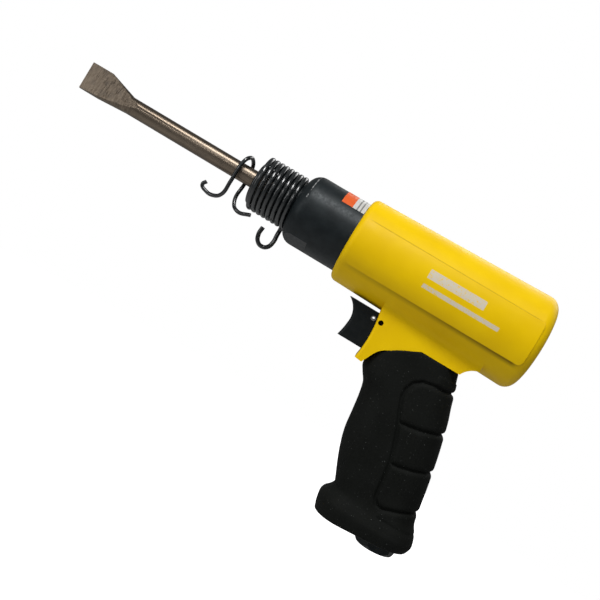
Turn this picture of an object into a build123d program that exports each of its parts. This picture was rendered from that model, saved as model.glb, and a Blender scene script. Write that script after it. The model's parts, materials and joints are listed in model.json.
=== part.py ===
from build123d import *
import os
from math import cos, pi, radians, sin

# Pneumatic air hammer with its chisel. Millimetres.
# Origin: centre of the air inlet's mouth. +Z is up, -X points to the chisel, and y = 0 is the middle.
# Profiles are drawn in "tool" places: x from the motor housing's front edge, z from the barrel's axis.

# Where the housing's front edge and the barrel's axis stand from the inlet's mouth
FRONT_X = -98.5
BARREL_Z = 141.5

# Motor
HOUSING_LENGTH = 117.8
HOUSING_FRONT_R = 25.4
HOUSING_REAR_R = 28.5
BARREL_R = 21.15
SHANK_R = 5.09
PISTON_R = 9.5
RUNNING_GAP = 0.05

# Beehive spring
COIL_R = 14.75
WIRE_R = 1.42
COIL_PITCH = 3.07
COIL_TURNS = 7.5

# Throttle and handle
THROTTLE_Z = -32.0
PIN_X = 33.0
PIN_R = 1.4
NECK_HALF = 15.2
NECK_BLEND = 7.0
SLOT_PLACE = (43.0, -39.0)
SLOT_LENGTH = 20.0
SLOT_HEIGHT = 22.0
SLOT_HALF = 10.4
FOOT_SLOPE = 4.7

# Heights over the inlet's mouth, square to the foot
RUBBER_FOOT = 5.8
CORE_FOOT = 7.4

tool = Plane(origin=(FRONT_X, 0, BARREL_Z), x_dir=(1, 0, 0), z_dir=(0, -1, 0))
barrel_axis = Axis((FRONT_X, 0, BARREL_Z), (1, 0, 0))
throttle = Plane(origin=(FRONT_X, 0, BARREL_Z + THROTTLE_Z), x_dir=(1, 0, 0), z_dir=(0, -1, 0))
throttle_axis = Axis((FRONT_X, 0, BARREL_Z + THROTTLE_Z), (1, 0, 0))
inlet_plane = Plane(
    origin=(0, 0, 0),
    x_dir=(cos(radians(FOOT_SLOPE)), 0, sin(radians(FOOT_SLOPE))),
    z_dir=(-sin(radians(FOOT_SLOPE)), 0, cos(radians(FOOT_SLOPE))),
)

os.makedirs("parts", exist_ok=True)


def across(x, z=0.0):
    """The plane square to the barrel at tool place x, z; its sketch x is +Y and its normal is +X."""
    return Plane(origin=(FRONT_X + x, 0, BARREL_Z + z), x_dir=(0, 1, 0), z_dir=(1, 0, 0))


def level(z):
    """The horizontal plane at tool height z."""
    return Plane(origin=(FRONT_X, 0, BARREL_Z + z), x_dir=(1, 0, 0), z_dir=(0, 0, 1))


def place(x, y, z):
    """A point given in tool places."""
    return (FRONT_X + x, y, BARREL_Z + z)


def save(part, name):
    part.label = name
    export_step(part, f"parts/{name}.step")


def section_corner(x, z):
    """A sort key: how far a corner of a profile lies from tool place x, z."""
    return lambda corner: abs(corner.X - x) + abs(corner.Y - z)


def barrel_ring(x_start, x_end, outer, inner=0.0):
    """A plain turned ring or plug about the barrel's axis."""
    with BuildPart() as ring:
        with BuildSketch(across(x_start)):
            Circle(outer)
            if inner > 0:
                Circle(inner, mode=Mode.SUBTRACT)
        extrude(amount=x_end - x_start)
    return ring.part


# ---------------------------------------------------------------- rubber line and handle core

# Lower edge of the painted neck, where the rubber begins
RUBBER_LINE = [(39.4, -55.4), (44.4, -45.0), (64.6, -34.0), (100.0, -34.0)]

# Handle core under the rubber: height, front, rear, half width
CORE_LEVELS = [
    (-33.0, 44.0, 85.5, 12.2),
    (-52.0, 44.6, 90.5, 12.8),
    (-66.0, 50.4, 94.8, 13.0),
    (-98.0, 57.0, 102.5, 13.0),
    (-119.0, 64.5, 106.8, 13.0),
    (-140.0, 61.0, 112.0, 15.8),
]

with BuildPart() as handle_core:
    for height, front, rear, half in CORE_LEVELS:
        with BuildSketch(level(height)):
            with Locations(((front + rear) / 2, 0)):
                RectangleRounded(rear - front, 2 * half, half * 0.75)
    loft(ruled=True)
    with BuildSketch(inlet_plane.offset(CORE_FOOT)):
        Rectangle(200, 80)
    extrude(amount=-30, mode=Mode.SUBTRACT)

# ---------------------------------------------------------------- housing

BORE_R = 19.5
SEAT_R = 16.5
BARREL_END = 76.0
VALVE_END = 97.0
CHAMBER_END = 108.0
PAD_START = 4.0
PAD_END = 112.2
AIR_WAY_Z = -23.0
THREAD_R = 8.0
SPIGOT_TOP = 20.5
EXHAUST_PLACE = -23.4
SCREW_REACH = 11.0

with BuildPart() as side_pad:
    with BuildSketch(tool.offset(12)):
        with Locations(((PAD_START + PAD_END) / 2, -0.6)):
            RectangleRounded(PAD_END - PAD_START, 26.8, 3.0)
    extrude(amount=24)
    with BuildSketch(across(PAD_START - 2)):
        Circle(HOUSING_FRONT_R + 0.05)
    with BuildSketch(across(PAD_END + 2)):
        with Locations((9.0, 0)):
            Circle(37.65)
    loft(mode=Mode.INTERSECT)
    fillet(side_pad.faces().sort_by(Axis.Y)[0].edges(), 0.5)

with BuildPart() as neck:
    with BuildSketch(tool):
        with BuildLine():
            Polyline((34.2, -18.0), (34.2, -27.0))
            ThreePointArc((34.2, -27.0), (36.0, -40.5), (35.0, -54.9))
            Line((35.0, -54.9), (39.4, -55.4))
            FilletPolyline(*RUBBER_LINE[:3], radius=12)
            Line((64.6, -34.0), (88.2, -34.0))
            ThreePointArc((88.2, -34.0), (91.2, -30.0), (96.5, -27.3))
            Polyline((96.5, -27.3), (96.5, -18.0), (34.2, -18.0))
        make_face()
    extrude(amount=NECK_HALF, both=True)

with BuildPart() as housing:
    with BuildSketch(tool) as section:
        with BuildLine():
            Polyline((0, 0), (0, HOUSING_FRONT_R), (HOUSING_LENGTH - 0.9, HOUSING_REAR_R),
                     (HOUSING_LENGTH, 8), (HOUSING_LENGTH, 0), close=True)
        make_face()
        fillet(section.vertices().sort_by(section_corner(0, HOUSING_FRONT_R))[0], 3.6)
        fillet(section.vertices().sort_by(section_corner(HOUSING_LENGTH, HOUSING_REAR_R))[0], 6.5)
    revolve(axis=barrel_axis)
    add(neck.part)
    # Blend the neck's sides into the round body, then round its two front edges
    fillet(housing.edges().filter_by(lambda e: e.length > 50 and abs(abs(e.center().Y) - NECK_HALF) < 0.5
                                     and e.center().Z > BARREL_Z - 24), NECK_BLEND)
    fillet(housing.edges().filter_by(lambda e: e.center().X < FRONT_X + 38 and e.center().Z < BARREL_Z - 28
                                     and e.length > 15 and abs(e.center().Y) > 14), 1.5)
    add(side_pad.part)
    add(mirror(side_pad.part, about=Plane.XZ, mode=Mode.PRIVATE))
    add(handle_core.part)
    # Barrel bore, valve seat and supply chamber
    with BuildSketch(tool):
        with BuildLine():
            Polyline((-1, 0), (-1, 21.5), (3, 21.5), (3, BORE_R), (70, BORE_R), (70, SEAT_R),
                     (VALVE_END, SEAT_R), (VALVE_END, 12), (CHAMBER_END, 12), (CHAMBER_END, 0), close=True)
        make_face()
    revolve(axis=barrel_axis, mode=Mode.SUBTRACT)
    # Trigger slot, open to the front
    with BuildSketch(tool):
        with Locations(SLOT_PLACE):
            Rectangle(SLOT_LENGTH, SLOT_HEIGHT)
    extrude(amount=SLOT_HALF, both=True, mode=Mode.SUBTRACT)
    # Throttle chamber behind the slot
    with BuildSketch(across(52.9, THROTTLE_Z)):
        Circle(6.5)
    extrude(amount=29.1, mode=Mode.SUBTRACT)
    # Hole through which the trigger's pin is driven
    with BuildSketch(tool):
        with Locations((PIN_X + 4.8, THROTTLE_Z)):
            Circle(PIN_R + 0.1)
    extrude(amount=20, both=True, mode=Mode.SUBTRACT)
    # Air way from the throttle to the chamber behind the valve
    with BuildSketch(level(THROTTLE_Z)):
        with Locations((58.5, 0)):
            Circle(2.4)
    extrude(amount=AIR_WAY_Z - THROTTLE_Z, mode=Mode.SUBTRACT)
    with BuildSketch(across(57.8, AIR_WAY_Z)):
        Circle(2.2)
    extrude(amount=45, mode=Mode.SUBTRACT)
    with BuildSketch(level(AIR_WAY_Z)):
        with Locations((102.0, 0)):
            Circle(2.4)
    extrude(amount=14, mode=Mode.SUBTRACT)
    # Supply channel up the handle and the inlet's threaded pocket
    supply_foot = Vector(*place(97.2, 0, -122.0))
    supply_head = Vector(*place(73.0, 0, THROTTLE_Z))
    with BuildSketch(Plane(origin=supply_foot, z_dir=supply_head - supply_foot)):
        Circle(5.2)
    extrude(amount=(supply_head - supply_foot).length, mode=Mode.SUBTRACT)
    with BuildSketch(inlet_plane):
        Circle(THREAD_R)
    extrude(amount=SPIGOT_TOP, mode=Mode.SUBTRACT)
    # Two exhaust channels past the throttle, and the muffler's pocket in the foot
    for side in (-1, 1):
        exhaust_head = Vector(*place(60.0, side * 9.4, -15.0))
        exhaust_foot = Vector(*place(75.0, side * 6.4, -123.0))
        with BuildSketch(Plane(origin=exhaust_head, z_dir=exhaust_foot - exhaust_head)):
            Circle(2.1)
        extrude(amount=(exhaust_foot - exhaust_head).length, mode=Mode.SUBTRACT)
    with BuildSketch(inlet_plane.offset(CORE_FOOT)):
        with Locations((EXHAUST_PLACE, 0)):
            RectangleRounded(15.0, 17.4, 3.0)
    extrude(amount=12, mode=Mode.SUBTRACT)
    with BuildSketch(inlet_plane.offset(CORE_FOOT)):
        with Locations((EXHAUST_PLACE, SCREW_REACH), (EXHAUST_PLACE, -SCREW_REACH)):
            Circle(1.25)
    extrude(amount=8, mode=Mode.SUBTRACT)
save(housing.part, "housing")

# ---------------------------------------------------------------- barrel

NOSE_START = -51.0
SHOULDER = -36.3
NOSE_R = 13.0
PISTON_BORE_START = -24.0
TAIL_R = 16.0

with BuildPart() as barrel:
    with BuildSketch(tool) as section:
        with BuildLine():
            Polyline((NOSE_START, SHANK_R + RUNNING_GAP), (NOSE_START, NOSE_R), (SHOULDER, NOSE_R),
                     (SHOULDER, BARREL_R), (2.4, BARREL_R), (2.4, BORE_R), (30.0, BORE_R), (30.0, TAIL_R),
                     (BARREL_END, TAIL_R),
                     (BARREL_END, PISTON_R + RUNNING_GAP), (PISTON_BORE_START, PISTON_R + RUNNING_GAP),
                     (PISTON_BORE_START, SHANK_R + RUNNING_GAP), close=True)
        make_face()
        fillet(section.vertices().sort_by(section_corner(SHOULDER, BARREL_R))[0], 7.6)
        chamfer(section.vertices().sort_by(section_corner(NOSE_START, NOSE_R))[0], 1.2)
    revolve(axis=barrel_axis)
    # Wrench flats, turned down towards the handle
    for turn in (-70, 110):
        outwards = (0, -cos(radians(turn)), sin(radians(turn)))
        with BuildSketch(Plane(origin=place(-29.5, 0, 0), x_dir=(1, 0, 0), z_dir=outwards).offset(19.6)):
            RectangleRounded(21.0, 30.0, 2.5)
        extrude(amount=6, mode=Mode.SUBTRACT)
    # Exhaust ports through the tail
    with BuildSketch(Plane(origin=place(50.0, 0, 0), x_dir=(1, 0, 0), z_dir=(0, 1, 0))):
        Circle(3.0)
    extrude(amount=20, both=True, mode=Mode.SUBTRACT)
    # Groove for the seal
    with BuildSketch(tool):
        with Locations((26.0, BORE_R - 0.75)):
            Rectangle(2.4, 1.5)
    revolve(axis=barrel_axis, mode=Mode.SUBTRACT)
save(barrel.part, "barrel")

save(barrel_ring(24.9, 27.1, BORE_R, BORE_R - 1.5), "barrel_seal")

with BuildPart() as barrel_label:
    with BuildSketch(across(-14.3)) as field:
        Circle(BARREL_R + 0.12)
        Circle(BARREL_R, mode=Mode.SUBTRACT)
        with BuildLine():
            start = radians(27)
            end = radians(140)
            Polyline((0, 0), (40 * cos(start), 40 * sin(start)), (40, 80), (-40, 80),
                     (40 * cos(end), 40 * sin(end)), close=True)
        make_face(mode=Mode.INTERSECT)
    extrude(amount=14.0)
save(barrel_label.part, "barrel_label")

# ---------------------------------------------------------------- piston and valve

PISTON_LENGTH = 36.0
PISTON_START = -20.5

with BuildPart() as piston:
    with BuildSketch(across(PISTON_START)):
        Circle(PISTON_R)
    extrude(amount=PISTON_LENGTH)
    fillet(piston.edges().filter_by(GeomType.CIRCLE), 1.0)
    for groove in (10.0, 26.0):
        with BuildSketch(tool):
            with Locations((PISTON_START + groove, PISTON_R)):
                Rectangle(1.2, 0.6)
        revolve(axis=barrel_axis, mode=Mode.SUBTRACT)
save(piston.part, "piston")

BLOCK_END = BARREL_END + 10.0
DISC_START = BARREL_END + 5.2
DISC_THICK = 2.6
DISC_TRAVEL = 1.2
DISC_R = 9.0

with BuildPart() as valve_block:
    with BuildSketch(across(BARREL_END)):
        Circle(SEAT_R)
        Circle(4.0, mode=Mode.SUBTRACT)
        with PolarLocations(12.8, 2, start_angle=90):
            Circle(1.5, mode=Mode.SUBTRACT)
    extrude(amount=BLOCK_END - BARREL_END)
    with BuildSketch(across(DISC_START - 0.1)):
        Circle(DISC_R + 0.35)
    extrude(amount=BLOCK_END - DISC_START + 0.1, mode=Mode.SUBTRACT)
save(valve_block.part, "valve_block")

with BuildPart() as cycle_valve:
    with BuildSketch(across(DISC_START)):
        Circle(DISC_R)
        Circle(2.0, mode=Mode.SUBTRACT)
        with PolarLocations(6.0, 6):
            Circle(1.1, mode=Mode.SUBTRACT)
    extrude(amount=DISC_THICK)
save(cycle_valve.part, "cycle_valve")

with BuildPart() as valve_cap:
    with BuildSketch(across(BLOCK_END)):
        Circle(SEAT_R)
        with PolarLocations(5.5, 6):
            Circle(1.5, mode=Mode.SUBTRACT)
        with PolarLocations(12.8, 2, start_angle=90):
            Circle(1.5, mode=Mode.SUBTRACT)
    extrude(amount=VALVE_END - BLOCK_END)
    with BuildSketch(across(DISC_START + DISC_THICK + DISC_TRAVEL + 0.1)):
        Circle(DISC_R)
        Circle(7.4, mode=Mode.SUBTRACT)
    extrude(until=Until.NEXT)
save(valve_cap.part, "valve_cap")

with BuildPart() as valve_dowels:
    with BuildSketch(across(BARREL_END)):
        with PolarLocations(12.8, 2, start_angle=90):
            Circle(1.5)
    extrude(amount=VALVE_END - BARREL_END)
save(valve_dowels.part, "valve_dowels")

# ---------------------------------------------------------------- chisel

BLADE_TURN = -14.0
FACET_START = -140.5
FLARE_START = -147.0
BLADE_ROOT = -168.0
FLARE_END = -165.0
BLADE_LOW = -6.2
BLADE_HIGH = 10.9
ROOT_HALF = 2.0
EDGE_HALF = 0.45
TIP_HIGH = (-178.8, 11.0)
TIP_LOW = (-177.2, -6.3)

thickness = Vector(0, cos(radians(BLADE_TURN)), sin(radians(BLADE_TURN)))
width = Vector(0, -sin(radians(BLADE_TURN)), cos(radians(BLADE_TURN)))


def blade_cut(x):
    """The plane square to the chisel at x; sketch x is the blade's thickness and sketch y its width."""
    return Plane(origin=place(x, 0, 0), x_dir=thickness, z_dir=(1, 0, 0))


def edge_x(side):
    """Where the cutting edge stands, so far to one side of the chisel's axis."""
    return TIP_LOW[0] + (side - TIP_LOW[1]) * (TIP_HIGH[0] - TIP_LOW[0]) / (TIP_HIGH[1] - TIP_LOW[1])


with BuildPart() as blade:
    # The shank flares into a wide flat form with round edges
    with BuildSketch(blade_cut(FLARE_START)):
        RectangleRounded(2 * SHANK_R, 2 * SHANK_R, SHANK_R - 0.05)
    with BuildSketch(blade_cut(FLARE_END)):
        with Locations((0, (BLADE_LOW + BLADE_HIGH) / 2)):
            RectangleRounded(2 * SHANK_R, BLADE_HIGH - BLADE_LOW, SHANK_R - 0.05)
    loft(ruled=True)
    with BuildSketch(blade_cut(FLARE_END)):
        with Locations((0, (BLADE_LOW + BLADE_HIGH) / 2)):
            RectangleRounded(2 * SHANK_R, BLADE_HIGH - BLADE_LOW, SHANK_R - 0.05)
    extrude(amount=-16)
    with BuildSketch(across(FLARE_START)):
        Circle(SHANK_R)
    extrude(amount=FACET_START - FLARE_START + 2)
    # Two flat faces on each side, which meet the shank in a V
    with BuildSketch(Plane(origin=place(0, 0, 0), x_dir=(1, 0, 0), z_dir=width)):
        with BuildLine():
            Polyline((FACET_START + 4, SHANK_R + 1), (FACET_START, SHANK_R), (BLADE_ROOT, ROOT_HALF),
                     (TIP_HIGH[0] - 1, EDGE_HALF), (TIP_HIGH[0] - 1, -EDGE_HALF), (BLADE_ROOT, -ROOT_HALF),
                     (FACET_START, -SHANK_R), (FACET_START + 4, -SHANK_R - 1), close=True)
        make_face()
    extrude(amount=30, both=True, mode=Mode.INTERSECT)
    # The cutting edge is slightly askew
    with BuildSketch(Plane(origin=place(0, 0, 0), x_dir=(1, 0, 0), z_dir=-thickness)):
        with BuildLine():
            Polyline((-100, 20), (edge_x(20), 20), (edge_x(-20), -20), (-100, -20), close=True)
        make_face()
    extrude(amount=30, both=True, mode=Mode.INTERSECT)

with BuildPart() as chisel:
    with BuildSketch(across(FACET_START)):
        Circle(SHANK_R)
    extrude(amount=-FACET_START + PISTON_BORE_START + 2)
    add(blade.part)
    # Collar that the spring's narrow turns hold
    with BuildSketch(tool):
        with BuildLine():
            Polyline((-60.0, 0), (-60.0, 6.2), (-58.6, 8.4), (-54.5, 9.0), (-52.0, 9.0), (-52.0, 0),
                     close=True)
        make_face()
    revolve(axis=barrel_axis)
save(chisel.part, "chisel")

# ---------------------------------------------------------------- beehive spring and release wire

COILS_FRONT = -60.9
CONE_TURNS = 2.5
CONE_PITCH = 1.9
CONE_END_R = SHANK_R + WIRE_R + 0.35
ARCS_PER_TURN = 8
HOOK = [(-38.1, 4.6, -14.75), (-37.5, 4.0, -29.8), (-46.8, 1.5, -29.8), (-46.4, 1.0, -20.0)]
HOOK_RADII = [2.4, 4.3, 4.3]


def corner_points(points):
    """Tool places as points of the part."""
    return [place(*point) for point in points]


def coil_radius(turn):
    """The coils' radius after so many turns from where the cone meets the body of the spring."""
    return COIL_R + min(turn, 0) / CONE_TURNS * (COIL_R - CONE_END_R)


def coil_place(turn, radius):
    """The wire's place after so many turns, in tool places; negative turns run up the cone."""
    along = COILS_FRONT + turn * (COIL_PITCH if turn > 0 else CONE_PITCH)
    return (along, -radius * sin(2 * pi * turn), radius * cos(2 * pi * turn))


# The wire is a chain of arcs, each an eighth of a turn, from the cone's narrow end to the hook at the rear
arc_turns = [(i + 0.5) / ARCS_PER_TURN
             for i in range(int(-CONE_TURNS * ARCS_PER_TURN), int(COIL_TURNS * ARCS_PER_TURN))]
outward = 1 / cos(pi / ARCS_PER_TURN)
arc_corners = [coil_place(turn, coil_radius(turn) * outward) for turn in arc_turns]

with BuildPart() as retainer_spring:
    with BuildLine() as spring_wire:
        FilletPolyline(
            *corner_points([coil_place(-CONE_TURNS, CONE_END_R), *arc_corners, *HOOK]),
            radius=[0.93 * coil_radius(turn) for turn in arc_turns] + HOOK_RADII,
        )
    with BuildSketch(Plane(origin=spring_wire.line @ 0, z_dir=spring_wire.line % 0)):
        Circle(WIRE_R)
    sweep(path=spring_wire.line)
save(retainer_spring.part, "retainer_spring")

RELEASE_WIRE = [
    (-56.0, 0.5, -18.3), (-63.8, 1.5, -20.2), (-68.6, 4.4, -16.4), (-69.2, 6.9, -4.0), (-69.6, 6.9, 4.0),
    (-70.8, 4.0, 8.6), (-72.4, -4.0, 8.6), (-73.6, -6.9, 4.0), (-74.0, -6.9, -8.0), (-75.2, -4.5, -16.3),
    (-79.5, -1.5, -19.4), (-85.0, 0.0, -19.4), (-88.4, 0.0, -17.2), (-87.1, 0.0, -14.6),
]

with BuildPart() as release_wire:
    with BuildLine() as release_path:
        FilletPolyline(*corner_points(RELEASE_WIRE), radius=1.6)
    with BuildSketch(Plane(origin=release_path.line @ 0, z_dir=release_path.line % 0)):
        Circle(1.15)
    sweep(path=release_path.line)
save(release_wire.part, "release_wire")

# ---------------------------------------------------------------- trigger and throttle

TRIGGER_HALF = 10.0

with BuildPart() as trigger:
    with BuildSketch(tool) as section:
        with BuildLine():
            Polyline((34.0, -28.2), (15.8, -28.2))
            ThreePointArc((15.8, -28.2), (21.2, -34.5), (21.9, -41.0))
            ThreePointArc((21.9, -41.0), (21.4, -45.0), (20.4, -49.4))
            Polyline((20.4, -49.4), (45.0, -49.4), (45.0, -28.2), (34.0, -28.2))
        make_face()
    extrude(amount=TRIGGER_HALF, both=True)
    fillet(trigger.edges().filter_by(lambda e: abs(e.center().Y) > 9 and e.center().X < FRONT_X + 23), 1.8)
    with BuildSketch(tool):
        with Locations((PIN_X, THROTTLE_Z)):
            Circle(PIN_R)
    extrude(amount=12, both=True, mode=Mode.SUBTRACT)
    with BuildSketch(across(27.0, THROTTLE_Z)):
        Circle(2.5)
    extrude(amount=20, mode=Mode.SUBTRACT)
    # Hollow back, so that the trigger is a moulded shell
    with BuildSketch(tool):
        with Locations((38.0, -43.0)):
            RectangleRounded(18.0, 9.0, 1.5)
    extrude(amount=7.0, both=True, mode=Mode.SUBTRACT)
save(trigger.part, "trigger")

with BuildPart() as trigger_pin:
    with BuildSketch(tool):
        with Locations((PIN_X, THROTTLE_Z)):
            Circle(PIN_R)
            Circle(0.8, mode=Mode.SUBTRACT)
    extrude(amount=TRIGGER_HALF - 0.3, both=True)
save(trigger_pin.part, "trigger_pin")

SEAT_START = 53.0
SEAT_END = 64.0
STEM_R = 2.5
SEAL_PLACE = 55.4
SPRING_START = 68.4
SPRING_END = 81.8

with BuildPart() as throttle_stem:
    with BuildSketch(throttle):
        with BuildLine():
            Polyline((27.2, 0), (27.2, STEM_R), (SEAL_PLACE - 0.8, STEM_R), (SEAL_PLACE - 0.8, 1.7),
                     (SEAL_PLACE + 0.8, 1.7), (SEAL_PLACE + 0.8, STEM_R), (57.2, STEM_R), (58.1, 1.6),
                     (SEAT_END + 0.1, 1.6), (SEAT_END + 0.1, 4.6), (SPRING_START, 4.6),
                     (SPRING_START, 2.4), (71.0, 2.4), (71.0, 0), close=True)
        make_face()
    revolve(axis=throttle_axis)
    with BuildSketch(tool):
        with Locations((PIN_X, THROTTLE_Z)):
            Circle(PIN_R)
    extrude(amount=5, both=True, mode=Mode.SUBTRACT)
save(throttle_stem.part, "throttle_stem")

with BuildPart() as stem_seal:
    with BuildSketch(throttle):
        with Locations((SEAL_PLACE, 2.1)):
            Rectangle(1.4, 0.8)
    revolve(axis=throttle_axis)
save(stem_seal.part, "stem_seal")

with BuildPart() as throttle_seat:
    with BuildSketch(across(SEAT_START, THROTTLE_Z)):
        Circle(6.5)
        Circle(STEM_R + RUNNING_GAP, mode=Mode.SUBTRACT)
    extrude(amount=SEAT_END - SEAT_START)
    # Valve throat and its side port
    with BuildSketch(across(57.0, THROTTLE_Z)):
        Circle(3.6)
    extrude(amount=SEAT_END - 57.0, mode=Mode.SUBTRACT)
    with BuildSketch(level(THROTTLE_Z)):
        with Locations((58.5, 0)):
            Circle(1.2)
    extrude(amount=8, mode=Mode.SUBTRACT)
    with BuildSketch(throttle):
        with Locations((54.6, 6.1), (61.8, 6.1)):
            Rectangle(1.6, 1.2)
    revolve(axis=throttle_axis, mode=Mode.SUBTRACT)
save(throttle_seat.part, "throttle_seat")

with BuildPart() as seat_seals:
    with BuildSketch(throttle):
        with Locations((54.6, 6.05), (61.8, 6.05)):
            Rectangle(1.4, 0.9)
    revolve(axis=throttle_axis)
save(seat_seals.part, "seat_seals")

SPRING_TURNS = 5
SPRING_WIRE_R = 0.45
SPRING_R = 3.6

with BuildPart() as throttle_spring:
    with BuildLine() as spring_path:
        height = SPRING_END - SPRING_START - 2 * SPRING_WIRE_R - 0.1
        Helix(pitch=height / SPRING_TURNS, height=height, radius=SPRING_R,
              center=place(SPRING_START + SPRING_WIRE_R + 0.05, 0, THROTTLE_Z), direction=(1, 0, 0))
    with BuildSketch(Plane(origin=spring_path.line @ 0, z_dir=spring_path.line % 0)):
        Circle(SPRING_WIRE_R)
    sweep(path=spring_path.line, is_frenet=True)
save(throttle_spring.part, "throttle_spring")

# ---------------------------------------------------------------- inlet

INLET_BORE_R = 5.65
INLET_DEPTH = 13.0
HEX_HEIGHT = 6.6
HEX_ACROSS = 22.0
HEX_TURN = 10.0

with BuildPart() as inlet_bushing:
    with BuildSketch(inlet_plane):
        RegularPolygon(radius=HEX_ACROSS / 2, side_count=6, major_radius=False, rotation=HEX_TURN)
    extrude(amount=HEX_HEIGHT)
    with BuildSketch(inlet_plane):
        Circle(HEX_ACROSS / 2)
    extrude(amount=HEX_HEIGHT, taper=-40, mode=Mode.INTERSECT)
    with BuildSketch(inlet_plane.offset(HEX_HEIGHT)):
        Circle(THREAD_R)
    extrude(amount=SPIGOT_TOP - HEX_HEIGHT)
    with BuildSketch(inlet_plane):
        Circle(INLET_BORE_R)
    extrude(amount=INLET_DEPTH, mode=Mode.SUBTRACT)
    with BuildSketch(inlet_plane.offset(INLET_DEPTH)):
        Circle(4.4)
    extrude(amount=8.0, mode=Mode.SUBTRACT)
save(inlet_bushing.part, "inlet_bushing")

with BuildPart() as inlet_seal:
    with BuildSketch(inlet_plane.offset(HEX_HEIGHT)):
        Circle(10.2)
        Circle(THREAD_R, mode=Mode.SUBTRACT)
    extrude(amount=CORE_FOOT - HEX_HEIGHT)
save(inlet_seal.part, "inlet_seal")

with BuildPart() as inlet_screen:
    with BuildSketch(inlet_plane.offset(INLET_DEPTH + 0.2)):
        Circle(4.4)
        Circle(3.9, mode=Mode.SUBTRACT)
    extrude(amount=5.0)
    with BuildSketch(inlet_plane.offset(INLET_DEPTH + 5.2)):
        Circle(4.4)
        with GridLocations(1.5, 1.5, 4, 4):
            Circle(0.45, mode=Mode.SUBTRACT)
    extrude(amount=0.5)
save(inlet_screen.part, "inlet_screen")

# ---------------------------------------------------------------- exhaust

COVER_THICK = 1.4

with BuildPart() as muffler:
    with BuildSketch(inlet_plane.offset(CORE_FOOT)):
        with Locations((EXHAUST_PLACE, 0)):
            RectangleRounded(14.8, 17.2, 2.9)
    extrude(amount=9.0)
save(muffler.part, "muffler")

with BuildPart() as exhaust_cover:
    with BuildSketch(inlet_plane.offset(CORE_FOOT - COVER_THICK)):
        with Locations((EXHAUST_PLACE, 0)):
            RectangleRounded(18.6, 26.4, 3.0)
            with GridLocations(3.0, 0, 4, 1):
                SlotOverall(12.0, 1.6, rotation=90, mode=Mode.SUBTRACT)
        with Locations((EXHAUST_PLACE, SCREW_REACH), (EXHAUST_PLACE, -SCREW_REACH)):
            Circle(1.4, mode=Mode.SUBTRACT)
    extrude(amount=COVER_THICK)
save(exhaust_cover.part, "exhaust_cover")

with BuildPart() as cover_screws:
    with BuildSketch(inlet_plane.offset(CORE_FOOT - COVER_THICK)):
        with Locations((EXHAUST_PLACE, SCREW_REACH), (EXHAUST_PLACE, -SCREW_REACH)):
            Circle(1.25)
    extrude(amount=COVER_THICK + 7.0)
    with BuildSketch(inlet_plane.offset(CORE_FOOT - COVER_THICK)):
        with Locations((EXHAUST_PLACE, SCREW_REACH), (EXHAUST_PLACE, -SCREW_REACH)):
            Circle(2.1)
    extrude(amount=-1.2)
    chamfer(cover_screws.faces().filter_by(lambda f: f.area > 10 and f.geom_type == GeomType.PLANE)
            .group_by(Axis.Z)[0].edges(), 0.4)
    with BuildSketch(inlet_plane.offset(CORE_FOOT - COVER_THICK - 1.2)):
        with Locations((EXHAUST_PLACE, SCREW_REACH), (EXHAUST_PLACE, -SCREW_REACH)):
            RegularPolygon(radius=1.0, side_count=6)
    extrude(amount=0.7, mode=Mode.SUBTRACT)
save(cover_screws.part, "cover_screws")

# ---------------------------------------------------------------- grip sleeve

# Outer form of the rubber: height, front, rear, half width
GRIP_LEVELS = [
    (-31.0, 40.0, 87.6, 15.6),
    (-44.0, 40.3, 92.4, 16.0),
    (-55.4, 40.6, 96.2, 16.4),
    (-66.0, 45.8, 99.5, 17.0),
    (-82.0, 49.2, 103.5, 17.5),
    (-98.0, 52.0, 107.0, 17.2),
    (-112.0, 57.6, 109.7, 16.6),
    (-122.0, 61.2, 111.8, 17.0),
]

# Foot flange: height, front, rear, half width
FOOT_LEVELS = [
    (-121.0, 61.4, 111.6, 16.8),
    (-126.2, 59.0, 115.2, 19.6),
    (-130.0, 56.7, 116.0, 21.0),
    (-134.5, 57.4, 114.8, 20.4),
    (-141.0, 59.2, 112.8, 19.2),
]


def rubber_levels(levels, ruled):
    with BuildPart() as body:
        for height, front, rear, half in levels:
            with BuildSketch(level(height)):
                with Locations(((front + rear) / 2, 0)):
                    RectangleRounded(rear - front, 2 * half, half * 0.8)
        loft(ruled=ruled)
    return body.part


with BuildPart() as grip_sleeve:
    add(rubber_levels(GRIP_LEVELS, False))
    # Keep only what lies below the painted neck's edge
    with BuildSketch(tool):
        with BuildLine():
            Line((30.0, -55.4), (39.4, -55.4))
            FilletPolyline(*RUBBER_LINE, radius=12)
            Polyline((100.0, -34.0), (130.0, -34.0), (130.0, -140.0), (30.0, -140.0), (30.0, -55.4))
        make_face()
    extrude(amount=30, both=True, mode=Mode.INTERSECT)
    add(rubber_levels(FOOT_LEVELS, True))
    # Sloping underside, with a shallow recess round the inlet and the exhaust cover
    with BuildSketch(inlet_plane.offset(RUBBER_FOOT)):
        Rectangle(200, 80)
    extrude(amount=-30, mode=Mode.SUBTRACT)
    with BuildSketch(inlet_plane.offset(RUBBER_FOOT)):
        with Locations((-11.9, 0)):
            RectangleRounded(52.0, 32.4, 13.0)
    extrude(amount=CORE_FOOT - RUBBER_FOOT, mode=Mode.SUBTRACT)
    add(handle_core.part, mode=Mode.SUBTRACT)
    # Room for the trigger's tail
    with BuildSketch(tool):
        with Locations(SLOT_PLACE):
            Rectangle(SLOT_LENGTH, SLOT_HEIGHT)
    extrude(amount=SLOT_HALF, both=True, mode=Mode.SUBTRACT)
save(grip_sleeve.part, "grip_sleeve")
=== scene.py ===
import json
from math import atan2, cos, pi, radians, sin, sqrt, tan

import bmesh
import bpy
from mathutils import Matrix, Vector


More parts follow.
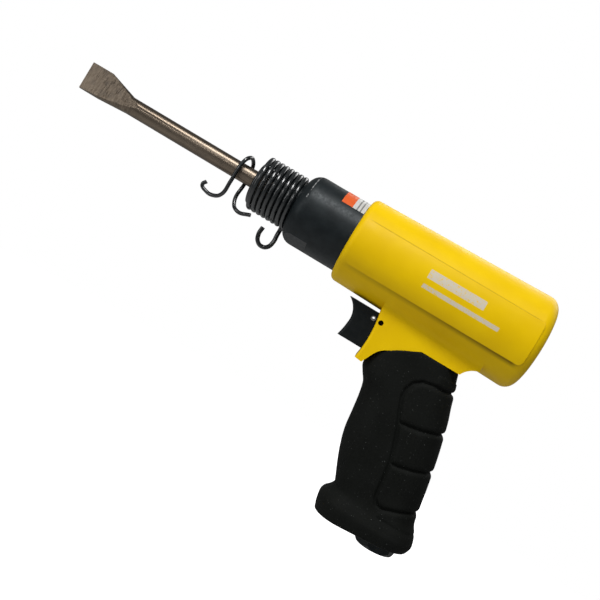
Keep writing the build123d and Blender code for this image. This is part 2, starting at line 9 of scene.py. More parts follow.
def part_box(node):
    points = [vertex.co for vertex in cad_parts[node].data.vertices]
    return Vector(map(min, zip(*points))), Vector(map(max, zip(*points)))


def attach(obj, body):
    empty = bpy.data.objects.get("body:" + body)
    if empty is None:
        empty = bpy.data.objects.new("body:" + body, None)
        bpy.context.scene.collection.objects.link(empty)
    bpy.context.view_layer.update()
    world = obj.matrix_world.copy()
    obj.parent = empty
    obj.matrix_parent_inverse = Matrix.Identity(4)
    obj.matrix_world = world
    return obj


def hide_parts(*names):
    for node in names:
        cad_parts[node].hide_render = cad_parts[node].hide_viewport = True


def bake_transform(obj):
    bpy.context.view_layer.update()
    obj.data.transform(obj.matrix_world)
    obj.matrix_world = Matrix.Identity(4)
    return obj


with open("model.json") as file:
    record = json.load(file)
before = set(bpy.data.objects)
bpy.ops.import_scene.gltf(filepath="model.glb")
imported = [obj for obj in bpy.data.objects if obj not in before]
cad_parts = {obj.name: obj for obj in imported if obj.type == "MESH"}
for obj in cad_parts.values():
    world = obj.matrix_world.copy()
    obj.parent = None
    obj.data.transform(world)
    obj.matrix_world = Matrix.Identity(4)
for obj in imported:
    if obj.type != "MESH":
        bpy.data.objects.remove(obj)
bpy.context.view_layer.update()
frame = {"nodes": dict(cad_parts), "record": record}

# Pneumatic air hammer. Metres, in the CAD frame: -X to the chisel, +Z up, the middle at y = 0.
# Outlines are given in millimetres in "tool" places: x from the housing's front edge, z from the barrel's axis.
MM = 0.001
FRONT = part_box("housing")[0].x
AXIS = (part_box("piston")[0].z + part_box("piston")[1].z) / 2
FOOT_SLOPE = radians(4.7)
INLET_X = -FRONT / MM
INLET_Z = -AXIS / MM


def at(x, y, z):
    """A tool place, in millimetres, as a point of the frame."""
    return Vector((FRONT + x * MM, y * MM, AXIS + z * MM))


def smoothstep(low, high, value):
    """0 below low, 1 above high, and an S curve between them."""
    share = min(max((value - low) / (high - low), 0.0), 1.0)
    return share * share * (3 - 2 * share)


def smooth_run(points):
    """A curve without overshoot through (place, value) points with rising places, as a function of place."""
    places = [p for p, _ in points]
    values = [v for _, v in points]
    steps = [(values[i + 1] - values[i]) / (places[i + 1] - places[i]) for i in range(len(points) - 1)]
    slopes = [steps[0]]
    for before, after in zip(steps, steps[1:]):
        slopes.append(2 * before * after / (before + after) if before * after > 0 else 0.0)
    slopes.append(steps[-1])

    def value(place):
        place = min(max(place, places[0]), places[-1])
        i = max(k for k in range(len(places) - 1) if places[k] <= place)
        width = places[i + 1] - places[i]
        t = (place - places[i]) / width
        return ((2 * t**3 - 3 * t**2 + 1) * values[i] + (t**3 - 2 * t**2 + t) * width * slopes[i]
                + (3 * t**2 - 2 * t**3) * values[i + 1] + (t**3 - t**2) * width * slopes[i + 1])

    return value


# ---------------------------------------------------------------- finishes

class Finish:
    """A material being put together: its shader, and short ways to add texture nodes to it."""

    def __init__(self, name, roughness=0.5, metallic=0.0, specular=0.5):
        self.material = bpy.data.materials.new(name)
        self.material.use_nodes = True
        self.tree = self.material.node_tree
        self.tree.nodes.clear()
        output = self.tree.nodes.new("ShaderNodeOutputMaterial")
        self.shader = self.tree.nodes.new("ShaderNodeBsdfPrincipled")
        self.tree.links.new(self.shader.outputs["BSDF"], output.inputs["Surface"])
        self.shader.inputs["Roughness"].default_value = roughness
        self.shader.inputs["Metallic"].default_value = metallic
        self.shader.inputs["Specular IOR Level"].default_value = specular
        self.object_place = self.tree.nodes.new("ShaderNodeTexCoord").outputs["Object"]

    def put(self, value, socket):
        """Links a texture to a socket, or sets it where the value is plain."""
        if isinstance(value, bpy.types.NodeSocket):
            self.tree.links.new(value, socket)
        elif isinstance(value, (tuple, list)) and len(value) == 3 and socket.type == "RGBA":
            socket.default_value = (*value, 1.0)
        else:
            socket.default_value = value

    def stretched(self, scale=(1, 1, 1), turn=(0, 0, 0), shift=(0, 0, 0)):
        """Object places, moved, turned and scaled."""
        mapping = self.tree.nodes.new("ShaderNodeMapping")
        self.put(self.object_place, mapping.inputs["Vector"])
        mapping.inputs["Scale"].default_value = scale
        mapping.inputs["Rotation"].default_value = turn
        mapping.inputs["Location"].default_value = shift
        return mapping.outputs["Vector"]

    def grain(self, size, detail=3.0, where=None, rough=0.55):
        """Cloudy noise whose lumps are about size millimetres across."""
        noise = self.tree.nodes.new("ShaderNodeTexNoise")
        self.put(self.object_place if where is None else where, noise.inputs["Vector"])
        noise.inputs["Scale"].default_value = 1 / (size * MM)
        noise.inputs["Detail"].default_value = detail
        noise.inputs["Roughness"].default_value = rough
        return noise.outputs["Fac"]

    def ramp(self, value, low, high, start=0.0, end=1.0):
        """Maps low..high of a texture to start..end, held at both ends."""
        reach = self.tree.nodes.new("ShaderNodeMapRange")
        self.put(value, reach.inputs["Value"])
        for name, number in (("From Min", low), ("From Max", high), ("To Min", start), ("To Max", end)):
            reach.inputs[name].default_value = number
        return reach.outputs["Result"]

    def maths(self, kind, first, second=0.0):
        """One arithmetic step."""
        step = self.tree.nodes.new("ShaderNodeMath")
        step.operation = kind
        self.put(first, step.inputs[0])
        self.put(second, step.inputs[1])
        return step.outputs[0]

    def product(self, first, *others):
        """Values multiplied together."""
        for other in others:
            first = self.maths("MULTIPLY", first, other)
        return first

    def blend(self, share, first, second):
        """A colour between two."""
        mix = self.tree.nodes.new("ShaderNodeMix")
        mix.data_type = "RGBA"
        self.put(share, mix.inputs["Factor"])
        self.put(first, mix.inputs["A"])
        self.put(second, mix.inputs["B"])
        return mix.outputs["Result"]

    def axes(self):
        """Object x, y and z as three values, in metres."""
        parts = self.tree.nodes.new("ShaderNodeSeparateXYZ")
        self.put(self.object_place, parts.inputs[0])
        return parts.outputs[0], parts.outputs[1], parts.outputs[2]

    def between(self, value, low, high, soft=0.00008):
        """1 where value lies between low and high, with a short soft edge."""
        rise = self.ramp(value, low - soft, low + soft)
        fall = self.ramp(value, high - soft, high + soft, 1.0, 0.0)
        return self.maths("MULTIPLY", rise, fall)

    def colour(self, value):
        self.put(value, self.shader.inputs["Base Color"])

    def roughness(self, value):
        self.put(value, self.shader.inputs["Roughness"])

    def relief(self, height, depth, strength=1.0):
        """Bump of so many millimetres."""
        bump = self.tree.nodes.new("ShaderNodeBump")
        bump.inputs["Distance"].default_value = depth * MM
        bump.inputs["Strength"].default_value = strength
        self.put(height, bump.inputs["Height"])
        self.tree.links.new(bump.outputs["Normal"], self.shader.inputs["Normal"])


# The raised side panels, as painted: their ends, their lower and upper edges, and how far out they lie
PANEL_START, PANEL_END = 6, 109
PANEL_LOW, PANEL_HIGH = -13.7, 12.5
FLANK_START, FLANK_END = 0.0185, 0.020

# Plain printed bars: start, end, low, high
PRINT_BARS = [(46, 80, 1.4, 6.6), (46, 92, -4.4, -2.0)]
PRINT_START, PRINT_END = 0.0245, 0.025


def yellow_enamel():
    finish = Finish("yellow_enamel", roughness=0.42, specular=0.12)
    along, across, up = finish.axes()
    patches = finish.ramp(finish.grain(26, 2), 0.35, 0.7)
    paint = finish.blend(patches, (0.76, 0.485, 0.0), (0.82, 0.54, 0.0))
    specks = finish.ramp(finish.grain(1.1, 2, rough=0.7), 0.74, 0.8, 0.0, 0.35)
    paint = finish.blend(specks, paint, (0.52, 0.31, 0.01))
    # The panels' step is shallow in the CAD, so its shade is painted: a dark line under each panel, which grows
    # towards the rear, and a thin brown line along the upper edge
    flank = finish.ramp(finish.maths("ABSOLUTE", across), FLANK_START, FLANK_END)
    span = finish.between(along, at(PANEL_START, 0, 0).x, at(PANEL_END, 0, 0).x, 0.002)
    rearwards = finish.ramp(along, at(PANEL_START + 4, 0, 0).x, at(PANEL_END - 1, 0, 0).x, 0.25, 1.0)
    below = finish.ramp(up, at(0, 0, PANEL_LOW).z, at(0, 0, PANEL_LOW - 0.4).z)
    fade = finish.ramp(up, at(0, 0, PANEL_LOW - 2.9).z, at(0, 0, PANEL_LOW - 0.6).z, 0.0, 0.85)
    shade = finish.product(below, fade, rearwards, flank, span)
    paint = finish.blend(shade, paint, (0.13, 0.07, 0.0))
    upper_edge = finish.between(up, at(0, 0, PANEL_HIGH).z, at(0, 0, PANEL_HIGH + 0.5).z, 0.0002)
    paint = finish.blend(finish.product(upper_edge, span, flank, 0.5), paint, (0.30, 0.19, 0.0))
    # Two plain printed bars on each side panel
    bars = None
    for start, end, low, high in PRINT_BARS:
        bar = finish.product(finish.between(along, at(start, 0, 0).x, at(end, 0, 0).x),
                             finish.between(up, at(0, 0, low).z, at(0, 0, high).z))
        bars = bar if bars is None else finish.maths("MAXIMUM", bars, bar)
    side = finish.ramp(finish.maths("ABSOLUTE", across), PRINT_START, PRINT_END)
    worn = finish.ramp(finish.grain(0.9, 3), 0.36, 0.46, 0.25, 1.0)
    finish.colour(finish.blend(finish.product(bars, side, worn), paint, (0.62, 0.56, 0.46)))
    finish.roughness(finish.ramp(finish.grain(7, 3), 0.3, 0.7, 0.38, 0.5))
    finish.relief(finish.grain(0.7, 2), 0.012, 0.5)
    return finish.material


def black_oxide():
    finish = Finish("black_oxide", roughness=0.42, metallic=0.25, specular=0.28)
    cloud = finish.ramp(finish.grain(6, 4), 0.3, 0.7)
    steel = finish.blend(cloud, (0.0045, 0.0075, 0.009), (0.011, 0.0155, 0.0175))
    scratch = finish.grain(1.6, 5, finish.stretched((1, 14, 14), (0.5, 0, 0.3)), 0.7)
    steel = finish.blend(finish.ramp(scratch, 0.70, 0.78, 0.0, 0.35), steel, (0.09, 0.09, 0.09))
    # A scuff on the shoulder's crease with a painted highlight on it: a pale broken line round the upper part
    # only, where the light from above catches the crease
    along, _, up = finish.axes()
    shoulder = finish.between(along, at(-31.6, 0, 0).x, at(-31.2, 0, 0).x, 0.0002)
    broken = finish.ramp(finish.grain(2.5, 4), 0.47, 0.56, 0.0, 0.8)
    upper = finish.ramp(up, at(0, 0, 4).z, at(0, 0, 7).z)
    finish.colour(finish.blend(finish.product(shoulder, upper, broken), steel, (0.5, 0.5, 0.5)))
    finish.roughness(finish.ramp(finish.grain(1.4, 4), 0.3, 0.7, 0.36, 0.52))
    finish.relief(finish.grain(0.35, 3), 0.01, 0.6)
    return finish.material


def chisel_steel():
    finish = Finish("chisel_steel", roughness=0.3, metallic=1.0)
    along = finish.axes()[0]
    drawn = finish.grain(4.0, 2, finish.stretched((0.05, 1.4, 1.4)), 0.5)
    ground = finish.grain(2.2, 4, finish.stretched((2.4, 1, 0.4), (0, 0.6, 0)), 0.6)
    blade = finish.ramp(along, at(-139, 0, 0).x, at(-146, 0, 0).x)
    marks = finish.maths("ADD", finish.product(drawn, finish.maths("SUBTRACT", 1.0, blade)),
                       finish.product(ground, blade))
    bronze = finish.blend(finish.ramp(marks, 0.3, 0.72), (0.09, 0.07, 0.052), (0.215, 0.175, 0.135))
    stain = finish.ramp(finish.grain(5, 4), 0.52, 0.72, 0.0, 0.55)
    finish.colour(finish.blend(stain, bronze, (0.09, 0.078, 0.066)))
    finish.roughness(finish.ramp(marks, 0.3, 0.7, 0.24, 0.42))
    finish.relief(marks, 0.012, 0.5)
    return finish.material


def spring_lacquer():
    finish = Finish("spring_lacquer", roughness=0.2, specular=0.75)
    cloud = finish.ramp(finish.grain(1.8, 4), 0.4, 0.7)
    finish.colour(finish.blend(cloud, (0.0025, 0.004, 0.005), (0.012, 0.015, 0.016)))
    finish.roughness(finish.ramp(finish.grain(0.9, 4), 0.3, 0.7, 0.12, 0.3))
    finish.relief(finish.grain(0.8, 4), 0.03, 0.8)
    return finish.material


def moulded_plastic():
    finish = Finish("moulded_plastic", roughness=0.38, specular=0.2)
    finish.colour(finish.blend(finish.grain(4, 3), (0.002, 0.0035, 0.004), (0.006, 0.008, 0.0085)))
    dust = finish.ramp(finish.grain(1.2, 2, rough=0.8), 0.77, 0.8, 0.0, 0.5)
    finish.roughness(finish.ramp(finish.grain(2.5, 3), 0.3, 0.7, 0.32, 0.5))
    finish.relief(finish.maths("ADD", finish.grain(0.25, 2), dust), 0.012, 0.6)
    return finish.material


def soft_rubber():
    finish = Finish("soft_rubber", roughness=0.72, specular=0.08)
    mottle = finish.ramp(finish.grain(0.5, 4, rough=0.75), 0.35, 0.68)
    rubber = finish.blend(mottle, (0.0022, 0.0027, 0.0022), (0.0085, 0.0095, 0.0082))
    broad = finish.ramp(finish.grain(14, 3), 0.35, 0.7, 0.0, 0.5)
    rubber = finish.blend(broad, rubber, (0.0085, 0.0095, 0.0085))
    dust = finish.ramp(finish.grain(0.55, 1, rough=0.3), 0.76, 0.79, 0.0, 0.6)
    finish.colour(finish.blend(dust, rubber, (0.14, 0.15, 0.145)))
    finish.relief(finish.grain(0.35, 3, rough=0.7), 0.05, 0.7)
    return finish.material


def printed_film():
    finish = Finish("printed_film", roughness=0.35, specular=0.4)
    along = finish.axes()[0]
    shade = finish.grain(2.2, 3)
    orange = finish.blend(shade, (0.62, 0.085, 0.012), (0.72, 0.12, 0.02))
    pale = finish.blend(shade, (0.46, 0.46, 0.445), (0.58, 0.58, 0.565))
    field = finish.ramp(along, at(-7.6, 0, 0).x, at(-7.4, 0, 0).x)
    film = finish.blend(field, orange, pale)
    # Plain grey rules on the pale field
    rules = finish.between(along, at(-5.2, 0, 0).x, at(-4.4, 0, 0).x)
    rules = finish.maths("MAXIMUM", rules, finish.between(along, at(-3.1, 0, 0).x, at(-2.3, 0, 0).x))
    finish.colour(finish.blend(finish.maths("MULTIPLY", rules, 0.8), film, (0.10, 0.10, 0.10)))
    finish.relief(finish.grain(1.5, 2), 0.01, 0.4)
    return finish.material


def bright_steel():
    finish = Finish("bright_steel", roughness=0.3, metallic=1.0)
    finish.colour(finish.blend(finish.grain(1.5, 4), (0.34, 0.32, 0.30), (0.56, 0.54, 0.51)))
    finish.roughness(finish.ramp(finish.grain(0.8, 3), 0.3, 0.7, 0.22, 0.42))
    finish.relief(finish.grain(0.6, 3), 0.01, 0.5)
    return finish.material


def turned_brass():
    finish = Finish("turned_brass", roughness=0.28, metallic=1.0)
    rings = finish.grain(0.6, 3, finish.stretched((4, 0.4, 0.4)))
    finish.colour(finish.blend(rings, (0.55, 0.36, 0.12), (0.74, 0.52, 0.22)))
    finish.relief(rings, 0.01, 0.5)
    return finish.material


def seal_ring_rubber():
    finish = Finish("seal_ring_rubber", roughness=0.5, specular=0.3)
    finish.colour(finish.blend(finish.grain(1.0, 3), (0.006, 0.006, 0.006), (0.018, 0.018, 0.018)))
    finish.relief(finish.grain(0.3, 2), 0.01, 0.5)
    return finish.material


def pressed_felt():
    finish = Finish("pressed_felt", roughness=0.95, specular=0.1)
    finish.colour(finish.blend(finish.grain(0.6, 5, rough=0.8), (0.16, 0.155, 0.145), (0.36, 0.35, 0.33)))
    finish.relief(finish.grain(0.4, 4, rough=0.8), 0.2, 0.9)
    return finish.material


def pale_nylon():
    finish = Finish("pale_nylon", roughness=0.45, specular=0.4)
    finish.colour(finish.blend(finish.grain(2.0, 3), (0.62, 0.60, 0.54), (0.74, 0.72, 0.66)))
    finish.relief(finish.grain(0.5, 2), 0.01, 0.4)
    return finish.material


FINISHES = {
    "yellow_paint": yellow_enamel(),
    "black_steel": black_oxide(),
    "tool_steel": chisel_steel(),
    "spring_black": spring_lacquer(),
    "black_plastic": moulded_plastic(),
    "grip_rubber": soft_rubber(),
    "label_film": printed_film(),
    "plain_steel": bright_steel(),
    "brass": turned_brass(),
    "seal_rubber": seal_ring_rubber(),
    "felt": pressed_felt(),
    "nylon": pale_nylon(),
}


def dress_cad_nodes():
    """Every CAD node takes the finish of its slot in the record."""
    for part in frame["record"]["subparts"]:
        node = frame["nodes"][part["node"]]
        for place in node.material_slots:
            place.material = FINISHES[part["material_slot"]]


def new_piece(name, mesh, slot):
    """A piece at the frame's origin, in the finish of a record slot."""
    piece = bpy.data.objects.new(name, mesh)
    bpy.context.scene.collection.objects.link(piece)
    mesh.materials.clear()
    mesh.materials.append(FINISHES[slot])
    return piece


def mesh_from(bm, name):
    """The finished bmesh as a smooth-shaded mesh with outward faces."""
    bmesh.ops.recalc_face_normals(bm, faces=bm.faces)
    mesh = bpy.data.meshes.new(name)
    bm.to_mesh(mesh)
    bm.free()
    for face in mesh.polygons:
        face.use_smooth = True
    return mesh


# ---------------------------------------------------------------- rubber grip

# Front and rear edges and half width of the rubber at each height, and the line along the painted neck
GRIP_FRONT = smooth_run([
    (-141, 59.2), (-137, 58.3), (-134.5, 57.4), (-130, 56.7), (-127.5, 57.3), (-124.5, 59.9), (-121.5, 61.3),
    (-118.5, 60.2), (-112, 57.3), (-102, 53.3), (-92, 50.5), (-82, 49.2), (-72, 47.7), (-65, 45.9), (-60, 42.7),
    (-56, 40.6), (-50, 40.2), (-30, 40.0),
])
GRIP_REAR = smooth_run([
    (-141, 112.4), (-136, 113.3), (-132, 115.2), (-129.5, 115.8), (-127, 115.3), (-124, 114.2), (-121, 112.0),
    (-117, 110.0), (-110, 108.5), (-98, 106.3), (-87, 104.0), (-76, 101.5), (-68, 99.4), (-60, 97.2),
    (-52, 94.4), (-46, 92.6), (-36, 89.4), (-30, 87.6),
])
GRIP_HALF = smooth_run([
    (-141, 19.2), (-134.5, 20.4), (-130, 21.0), (-126, 19.5), (-122, 17.4), (-118, 16.7), (-112, 16.6),
    (-98, 17.2), (-82, 17.5), (-66, 17.0), (-55, 16.4), (-31, 15.6),
])
RUBBER_LINE = smooth_run([
    (36.0, -58.0), (39.4, -55.4), (42.0, -50.6), (45.5, -45.2), (52.0, -40.4), (60.0, -36.2), (66.0, -34.1),
    (72.0, -34.0), (100.0, -34.0),
])
FOOT_CREASE = -130.0
RUBBER_FOOT = 5.8
CORE_FOOT = 7.4

# Grooves that part the three rear pads, as seen from the side
PAD_GROOVES = [
    [(94.0, -45.0), (86.0, -46.2), (79.0, -46.3), (73.5, -47.6), (69.6, -50.8), (67.7, -55.5), (68.0, -60.0),
     (70.4, -66.5), (73.2, -72.6), (76.4, -80.4), (79.0, -88.0), (80.8, -95.0), (82.1, -103.0), (82.9, -110.0),
     (83.7, -114.4), (86.0, -117.2), (90.2, -117.6), (97.0, -115.2), (104.0, -112.6), (113.0, -110.4)],
    [(73.2, -72.6), (79.0, -72.0), (86.0, -70.6), (93.0, -68.6), (104.0, -66.2)],
    [(80.6, -94.0), (86.0, -93.4), (93.0, -91.6), (99.0, -89.6), (110.0, -87.2)],
]
PAD_EDGE = smooth_run([
    (-117.4, 88.0), (-114.4, 83.7), (-110.0, 82.9), (-103.0, 82.1), (-95.0, 80.8), (-88.0, 79.0), (-80.4, 76.4),
    (-72.6, 73.2), (-66.5, 70.4), (-60.0, 68.0), (-55.5, 67.7), (-50.8, 69.6), (-47.6, 73.5), (-46.4, 79.0),
])
GROOVE_HALF = 0.95
GROOVE_DEPTH = 1.25
PAD_RISE = 0.5

SIDE_STEPS = 42
CORNER_STEPS = 34
END_STEPS = 10
BODY_ROWS = 168
FOOT_ROWS = 14


def ring_outline(front, rear, half, round_share=0.82):
    """A rounded rectangle from front to rear as (x, y) points, always the same number of them."""
    radius = half * round_share
    corners = [(front + radius, radius - half, 180), (rear - radius, radius - half, 270),
               (rear - radius, half - radius, 0), (front + radius, half - radius, 90)]
    steps = [SIDE_STEPS, END_STEPS, SIDE_STEPS, END_STEPS]
    points = []
    for i, (cx, cy, start) in enumerate(corners):
        arc = [radians(start + 90 * k / CORNER_STEPS) for k in range(CORNER_STEPS + 1)]
        points += [(cx + radius * cos(a), cy + radius * sin(a)) for a in arc]
        nx, ny, turn = corners[(i + 1) % 4]
        turn = radians(turn)
        end = (nx + radius * cos(turn), ny + radius * sin(turn))
        begin = points[-1]
        shares = [k / steps[i] for k in range(1, steps[i])]
        points += [(begin[0] + (end[0] - begin[0]) * t, begin[1] + (end[1] - begin[1]) * t) for t in shares]
    return points


def foot_height(x, over_mouth):
    """Tool height of a plane along the sloping foot, so far over the inlet's mouth."""
    return INLET_Z + (x - INLET_X) * tan(FOOT_SLOPE) + over_mouth / cos(FOOT_SLOPE)


def grip_ring(height_at, inset=0.0):
    """A ring of points on the rubber's outer form; height_at gives each point's height from its place x."""
    points = ring_outline(GRIP_FRONT(-60.0), GRIP_REAR(-60.0), GRIP_HALF(-60.0))
    ring = []
    for i, (x, y) in enumerate(points):
        z = height_at(x)
        for _ in range(14):
            x, y = ring_point(i, z, inset)
            z += 0.4 * (height_at(x) - z)
        ring.append((x, y, z))
    return ring


OUTLINES = {}


def ring_point(i, z, inset):
    """Point i of the rubber's outline at height z."""
    key = (round(z, 1), inset)
    if key not in OUTLINES:
        height = key[0]
        edges = (GRIP_FRONT(height) + inset, GRIP_REAR(height) - inset, GRIP_HALF(height) - inset)
        OUTLINES[key] = ring_outline(*edges)
    return OUTLINES[key][i]


def line_distance(x, z, line):
    """Distance from a point to an open line of points."""
    best = 1e9
    for (ax, az), (bx, bz) in zip(line, line[1:]):
        dx, dz = bx - ax, bz - az
        share = min(max(((x - ax) * dx + (z - az) * dz) / (dx * dx + dz * dz), 0.0), 1.0)
        best = min(best, sqrt((x - ax - share * dx) ** 2 + (z - az - share * dz) ** 2))
    return best


def groove_depth(x, z):
    """How far the rubber is let in at a point seen from the side; negative on the raised pads."""
    if not (64 < x and -122 < z < -40):
        return 0.0
    near = min(line_distance(x, z, line) for line in PAD_GROOVES)
    dip = GROOVE_DEPTH * (1 - smoothstep(GROOVE_HALF * 0.45, GROOVE_HALF * 1.35, near))
    behind = smoothstep(0.0, 2.0, x - PAD_EDGE(z))
    return dip - PAD_RISE * behind * smoothstep(GROOVE_HALF, GROOVE_HALF * 3.0, near)


def rubber_grip():
    """The rubber sleeve: outer form with its pads and foot flange, recessed underside and inner wall."""
    rings = []
    for row in range(BODY_ROWS + 1):
        share = row / BODY_ROWS
        rim = max(0.0, 1.0 - share * 90 / 0.9)
        inset = round(0.9 * (1 - sqrt(max(0.0, 1 - rim * rim))), 2)
        rings.append(grip_ring(lambda x: RUBBER_LINE(x) + (FOOT_CREASE - RUBBER_LINE(x)) * share, inset))
    for row in range(1, FOOT_ROWS + 1):
        share = row / FOOT_ROWS
        rim = max(0.0, (share - 0.86) / 0.14)
        inset = round(1.0 * (1 - sqrt(max(0.0, 1 - rim * rim))), 2)
        rings.append(grip_ring(
            lambda x: FOOT_CREASE + (foot_height(x, RUBBER_FOOT) - FOOT_CREASE) * share, inset))
    centre = INLET_X - 11.9
    recess = ring_outline(centre - 26.0, centre + 26.0, 16.2)
    rings.append([(x, y, foot_height(x, RUBBER_FOOT)) for x, y in recess])
    rings.append([(x, y, foot_height(x, CORE_FOOT)) for x, y in recess])
    floor = ring_outline(centre - 23.5, centre + 23.5, 13.6)
    rings.append([(x, y, foot_height(x, CORE_FOOT)) for x, y in floor])
    inner = [(-119.0, 3.6), (-98.0, 3.8), (-66.0, 3.8), (-55.0, 3.6)]
    for height, wall in inner:
        rings.append(grip_ring(lambda x: height, wall))
    rings.append(grip_ring(lambda x: RUBBER_LINE(x) - 0.4, 3.4))

    bm = bmesh.new()
    count = len(rings[0])
    first = bmesh.ops.create_circle(bm, segments=count, radius=1.0)["verts"]
    for vert, point in zip(first, rings[0]):
        vert.co = at(*point)
    edges = [bm.edges.get((first[i], first[(i + 1) % count])) for i in range(count)]
    last = first
    for ring in rings[1:]:
        bmesh.ops.extrude_edge_only(bm, edges=edges)
        # each new vertex hangs from the one it was extruded from
        bm.verts.ensure_lookup_table()
        fresh = bm.verts[-count:]
        linked = {}
        before = set(last)
        for vert in fresh:
            for edge in vert.link_edges:
                other = edge.other_vert(vert)
                if other in before:
                    linked[other] = vert
        last = [linked[v] for v in last]
        for vert, point in zip(last, ring):
            vert.co = at(*point)
        edges = [bm.edges.get((last[i], last[(i + 1) % count])) for i in range(count)]
    start_edges = [bm.edges.get((first[i], first[(i + 1) % count])) for i in range(count)]
    bmesh.ops.bridge_loops(bm, edges=edges + start_edges)
    bmesh.ops.recalc_face_normals(bm, faces=bm.faces)
    bm.normal_update()
    outer = count * (BODY_ROWS + 1)
    bm.verts.ensure_lookup_table()
    moves = []
    for vert in bm.verts[:outer]:
        x = (vert.co.x - FRONT) / MM
        z = (vert.co.z - AXIS) / MM
        depth = groove_depth(x, z)
        if depth:
            moves.append((vert, vert.co - vert.normal * depth * MM))
    for vert, place in moves:
        vert.co = place
    piece = new_piece("rubber_grip", mesh_from(bm, "rubber_grip"), "grip_rubber")
    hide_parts("grip_sleeve")
    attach(piece, "body")


# ---------------------------------------------------------------- springs and wires

COIL_R = 14.75
COIL_WIRE = 1.42
HOOK_WIRE = 1.3
FINGER_WIRE = 1.15
COIL_PITCH = 3.07
COIL_TURNS = 7.5
COILS_FRONT = -60.4
CONE_TURNS = 1.6
CONE_PITCH = 1.3
CONE_END_R = 6.86
STEPS_PER_TURN = 40

SPRING_HOOK = [
    (-38.0, 3.0, -14.9), (-38.0, 5.2, -16.4), (-37.9, 5.0, -20.0), (-37.7, 4.4, -25.0), (-39.0, 3.6, -28.7),
    (-41.9, 2.8, -30.1), (-45.0, 2.0, -28.8), (-46.7, 1.4, -25.2), (-46.5, 1.0, -20.4),
]

RELEASE_WIRE = [
    (-56.0, 0.5, -18.3), (-63.8, 1.5, -20.2), (-68.6, 4.4, -16.4), (-69.2, 6.9, -4.0), (-69.6, 6.9, 4.0),
    (-70.8, 4.0, 8.6), (-72.4, -4.0, 8.6), (-73.6, -6.9, 4.0), (-74.0, -6.9, -8.0), (-75.2, -4.5, -16.3),
    (-79.5, -1.5, -19.4), (-85.0, 0.0, -19.4), (-88.4, 0.0, -17.2), (-87.1, 0.0, -14.6),
]


def bent_wire(name, points, radius, smooth):
    """Round wire with closed ends along points, as a mesh."""
    curve = bpy.data.curves.new(name, "CURVE")
    curve.dimensions = "3D"
    curve.bevel_depth = radius * MM
    curve.bevel_resolution = 4
    curve.use_fill_caps = True
    if smooth:
        spline = curve.splines.new("BEZIER")
        spline.bezier_points.add(len(points) - 1)
        for knot, point in zip(spline.bezier_points, points):
            knot.co = at(*point)
            knot.handle_left_type = knot.handle_right_type = "AUTO"
        spline.resolution_u = 10
    else:
        spline = curve.splines.new("POLY")
        spline.points.add(len(points) - 1)
        for knot, point in zip(spline.points, points):
            knot.co = (*at(*point), 1.0)
    holder = bpy.data.objects.new(name, curve)
    bpy.context.scene.collection.objects.link(holder)
    bpy.context.view_layer.update()
    mesh = bpy.data.meshes.new_from_object(holder.evaluated_get(bpy.context.evaluated_depsgraph_get()))
    bpy.data.objects.remove(holder)
    for face in mesh.polygons:
        face.use_smooth = True
    return mesh


def beehive_spring():
    """The coils, the narrow turns that close on the shank, and the hooked rear end."""
    path = []
    for step in range(round(-CONE_TURNS * STEPS_PER_TURN), round(COIL_TURNS * STEPS_PER_TURN) + 1):
        turn = step / STEPS_PER_TURN
        radius = COIL_R + min(turn, 0) / CONE_TURNS * (COIL_R - CONE_END_R)
        along = COILS_FRONT + turn * (COIL_PITCH if turn > 0 else CONE_PITCH)
        path.append((along, -radius * sin(2 * pi * turn), radius * cos(2 * pi * turn)))
    piece = new_piece("beehive_spring", bent_wire("beehive_spring", path, COIL_WIRE, False), "spring_black")
    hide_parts("retainer_spring")
    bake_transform(piece)
    hook_mesh = bent_wire("spring_hook", [path[-1], *SPRING_HOOK], HOOK_WIRE, True)
    hook = new_piece("spring_hook", hook_mesh, "spring_black")
    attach(hook, "body")


RETURN_TURNS = 5
RETURN_START = 68.9
RETURN_LENGTH = 12.4
RETURN_R = 3.6
RETURN_WIRE = 0.45
THROTTLE_Z = -32.0


def return_spring():
    """The throttle's spring, as a coil of wire in place of the CAD spring. On the tool, its front end goes with
    the stem and its rear end stays in the housing.
    """
    path = []
    for step in range(RETURN_TURNS * STEPS_PER_TURN + 1):
        turn = step / STEPS_PER_TURN
        along = RETURN_START + RETURN_LENGTH * turn / RETURN_TURNS
        path.append((along, RETURN_R * sin(2 * pi * turn), THROTTLE_Z + RETURN_R * cos(2 * pi * turn)))
    piece = new_piece("return_spring", bent_wire("return_spring", path, RETURN_WIRE, False), "plain_steel")
    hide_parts("throttle_spring")
    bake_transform(piece)


def release_wire():
    piece = new_piece("finger_wire", bent_wire("finger_wire", RELEASE_WIRE, FINGER_WIRE, True), "spring_black")
    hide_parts("release_wire")
    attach(piece, "retainer")


# ---------------------------------------------------------------- camera, floor and light

CAMERA_FOOT = (32.0, -18.0)
CAMERA_AWAY = 500.0
PICTURE_CENTRE = (-7.4, -44.7)
PICTURE_WIDTH = 334.8
CAMERA_ROLL = radians(31)
MOST_SHIFT = 0.045
SENSOR = 36.0


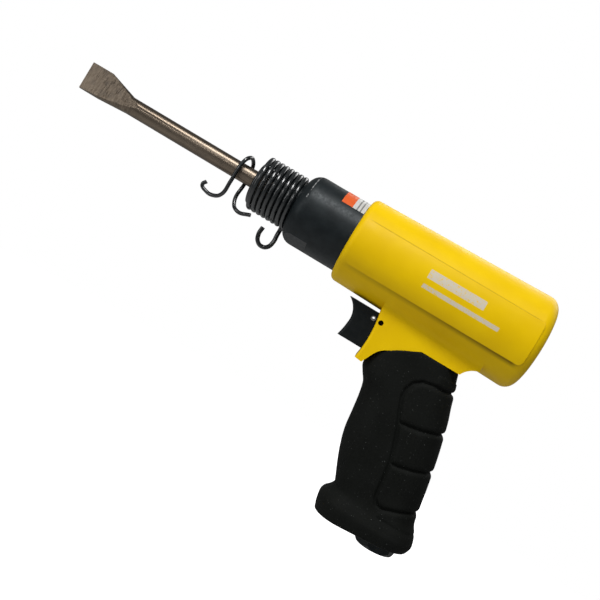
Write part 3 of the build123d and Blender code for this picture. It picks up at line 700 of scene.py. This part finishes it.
def camera():
    """Looks along +Y at the tool, rolled so that the chisel points up and to the left."""
    right = Vector((cos(CAMERA_ROLL), 0, sin(CAMERA_ROLL)))
    up = Vector((-sin(CAMERA_ROLL), 0, cos(CAMERA_ROLL)))
    back = Vector((0, -1, 0))
    foot = at(CAMERA_FOOT[0], 0, CAMERA_FOOT[1])
    centre = at(PICTURE_CENTRE[0], 0, PICTURE_CENTRE[1])
    width = PICTURE_WIDTH * MM
    away = CAMERA_AWAY * MM
    aside = atan2((centre - foot).dot(right), away)
    turn = atan2(-MOST_SHIFT * width, away) - aside
    data = bpy.data.cameras.new("camera")
    data.sensor_width = SENSOR
    data.lens = SENSOR * away / width
    data.shift_x = tan(aside + turn) * away / width
    data.shift_y = (centre - foot).dot(up) / width
    eye = bpy.data.objects.new("camera", data)
    bpy.context.scene.collection.objects.link(eye)
    facing = Matrix((right, up, back)).transposed().to_4x4() @ Matrix.Rotation(turn, 4, "Y")
    eye.matrix_world = Matrix.Translation(foot + back * away) @ facing
    bpy.context.scene.camera = eye


def softbox(name, place, target, size, power):
    """A square lamp at a place, aimed at a target."""
    data = bpy.data.lights.new(name, "AREA")
    data.shape = "RECTANGLE"
    data.size, data.size_y = size
    data.energy = power
    lamp = bpy.data.objects.new(name, data)
    lamp.location = place
    lamp.rotation_mode = "QUATERNION"
    lamp.rotation_quaternion = (Vector(target) - Vector(place)).to_track_quat("-Z", "Y")
    bpy.context.scene.collection.objects.link(lamp)


def studio():
    """A white room: pale floor well below the tool, a large soft lamp above the barrel, and weak fills."""
    world = bpy.data.worlds.new("studio")
    bpy.context.scene.world = world
    world.use_nodes = True
    nodes, links = world.node_tree.nodes, world.node_tree.links
    nodes.clear()
    output = nodes.new("ShaderNodeOutputWorld")
    seen = nodes.new("ShaderNodeBackground")
    lit = nodes.new("ShaderNodeBackground")
    lit.inputs["Strength"].default_value = 0.2
    seen.inputs["Color"].default_value = lit.inputs["Color"].default_value = (1, 1, 1, 1)
    mix = nodes.new("ShaderNodeMixShader")
    path = nodes.new("ShaderNodeLightPath")
    links.new(path.outputs["Is Camera Ray"], mix.inputs[0])
    links.new(lit.outputs[0], mix.inputs[1])
    links.new(seen.outputs[0], mix.inputs[2])
    links.new(mix.outputs[0], output.inputs["Surface"])

    bm = bmesh.new()
    bmesh.ops.create_circle(bm, cap_ends=True, segments=64, radius=3.0)
    bmesh.ops.translate(bm, verts=bm.verts, vec=(0, 0, -0.45))
    floor_mesh = bpy.data.meshes.new("floor")
    bm.to_mesh(floor_mesh)
    bm.free()
    floor = bpy.data.objects.new("floor", floor_mesh)
    bpy.context.scene.collection.objects.link(floor)
    pale = Finish("pale_floor", roughness=0.9, specular=0.1)
    pale.colour(pale.blend(pale.grain(300, 2), (0.80, 0.80, 0.80), (0.84, 0.84, 0.84)))
    pale.shader.inputs["Emission Color"].default_value = (1, 1, 1, 1)
    seen_path = pale.tree.nodes.new("ShaderNodeLightPath")
    glow = pale.ramp(seen_path.outputs["Is Camera Ray"], 0, 1, 0.0, 1.2)
    pale.put(glow, pale.shader.inputs["Emission Strength"])
    floor_mesh.materials.append(pale.material)

    middle = at(0, 0, -40)
    softbox("key", middle + Vector((-0.15, -0.50, 0.80)), middle, (0.6, 0.2), 8.0)
    softbox("front_fill", middle + Vector((-0.7, -0.5, 0.1)), middle, (0.2, 0.6), 1.0)
    softbox("strip", middle + Vector((-0.35, -0.75, 0.28)), middle, (0.5, 0.05), 0.8)
    softbox("rear_rim", middle + Vector((0.3, 0.7, 0.6)), middle, (0.8, 0.4), 3.0)
    bpy.context.scene.view_settings.view_transform = "Standard"


camera()
studio()
dress_cad_nodes()
rubber_grip()
beehive_spring()
return_spring()
release_wire()
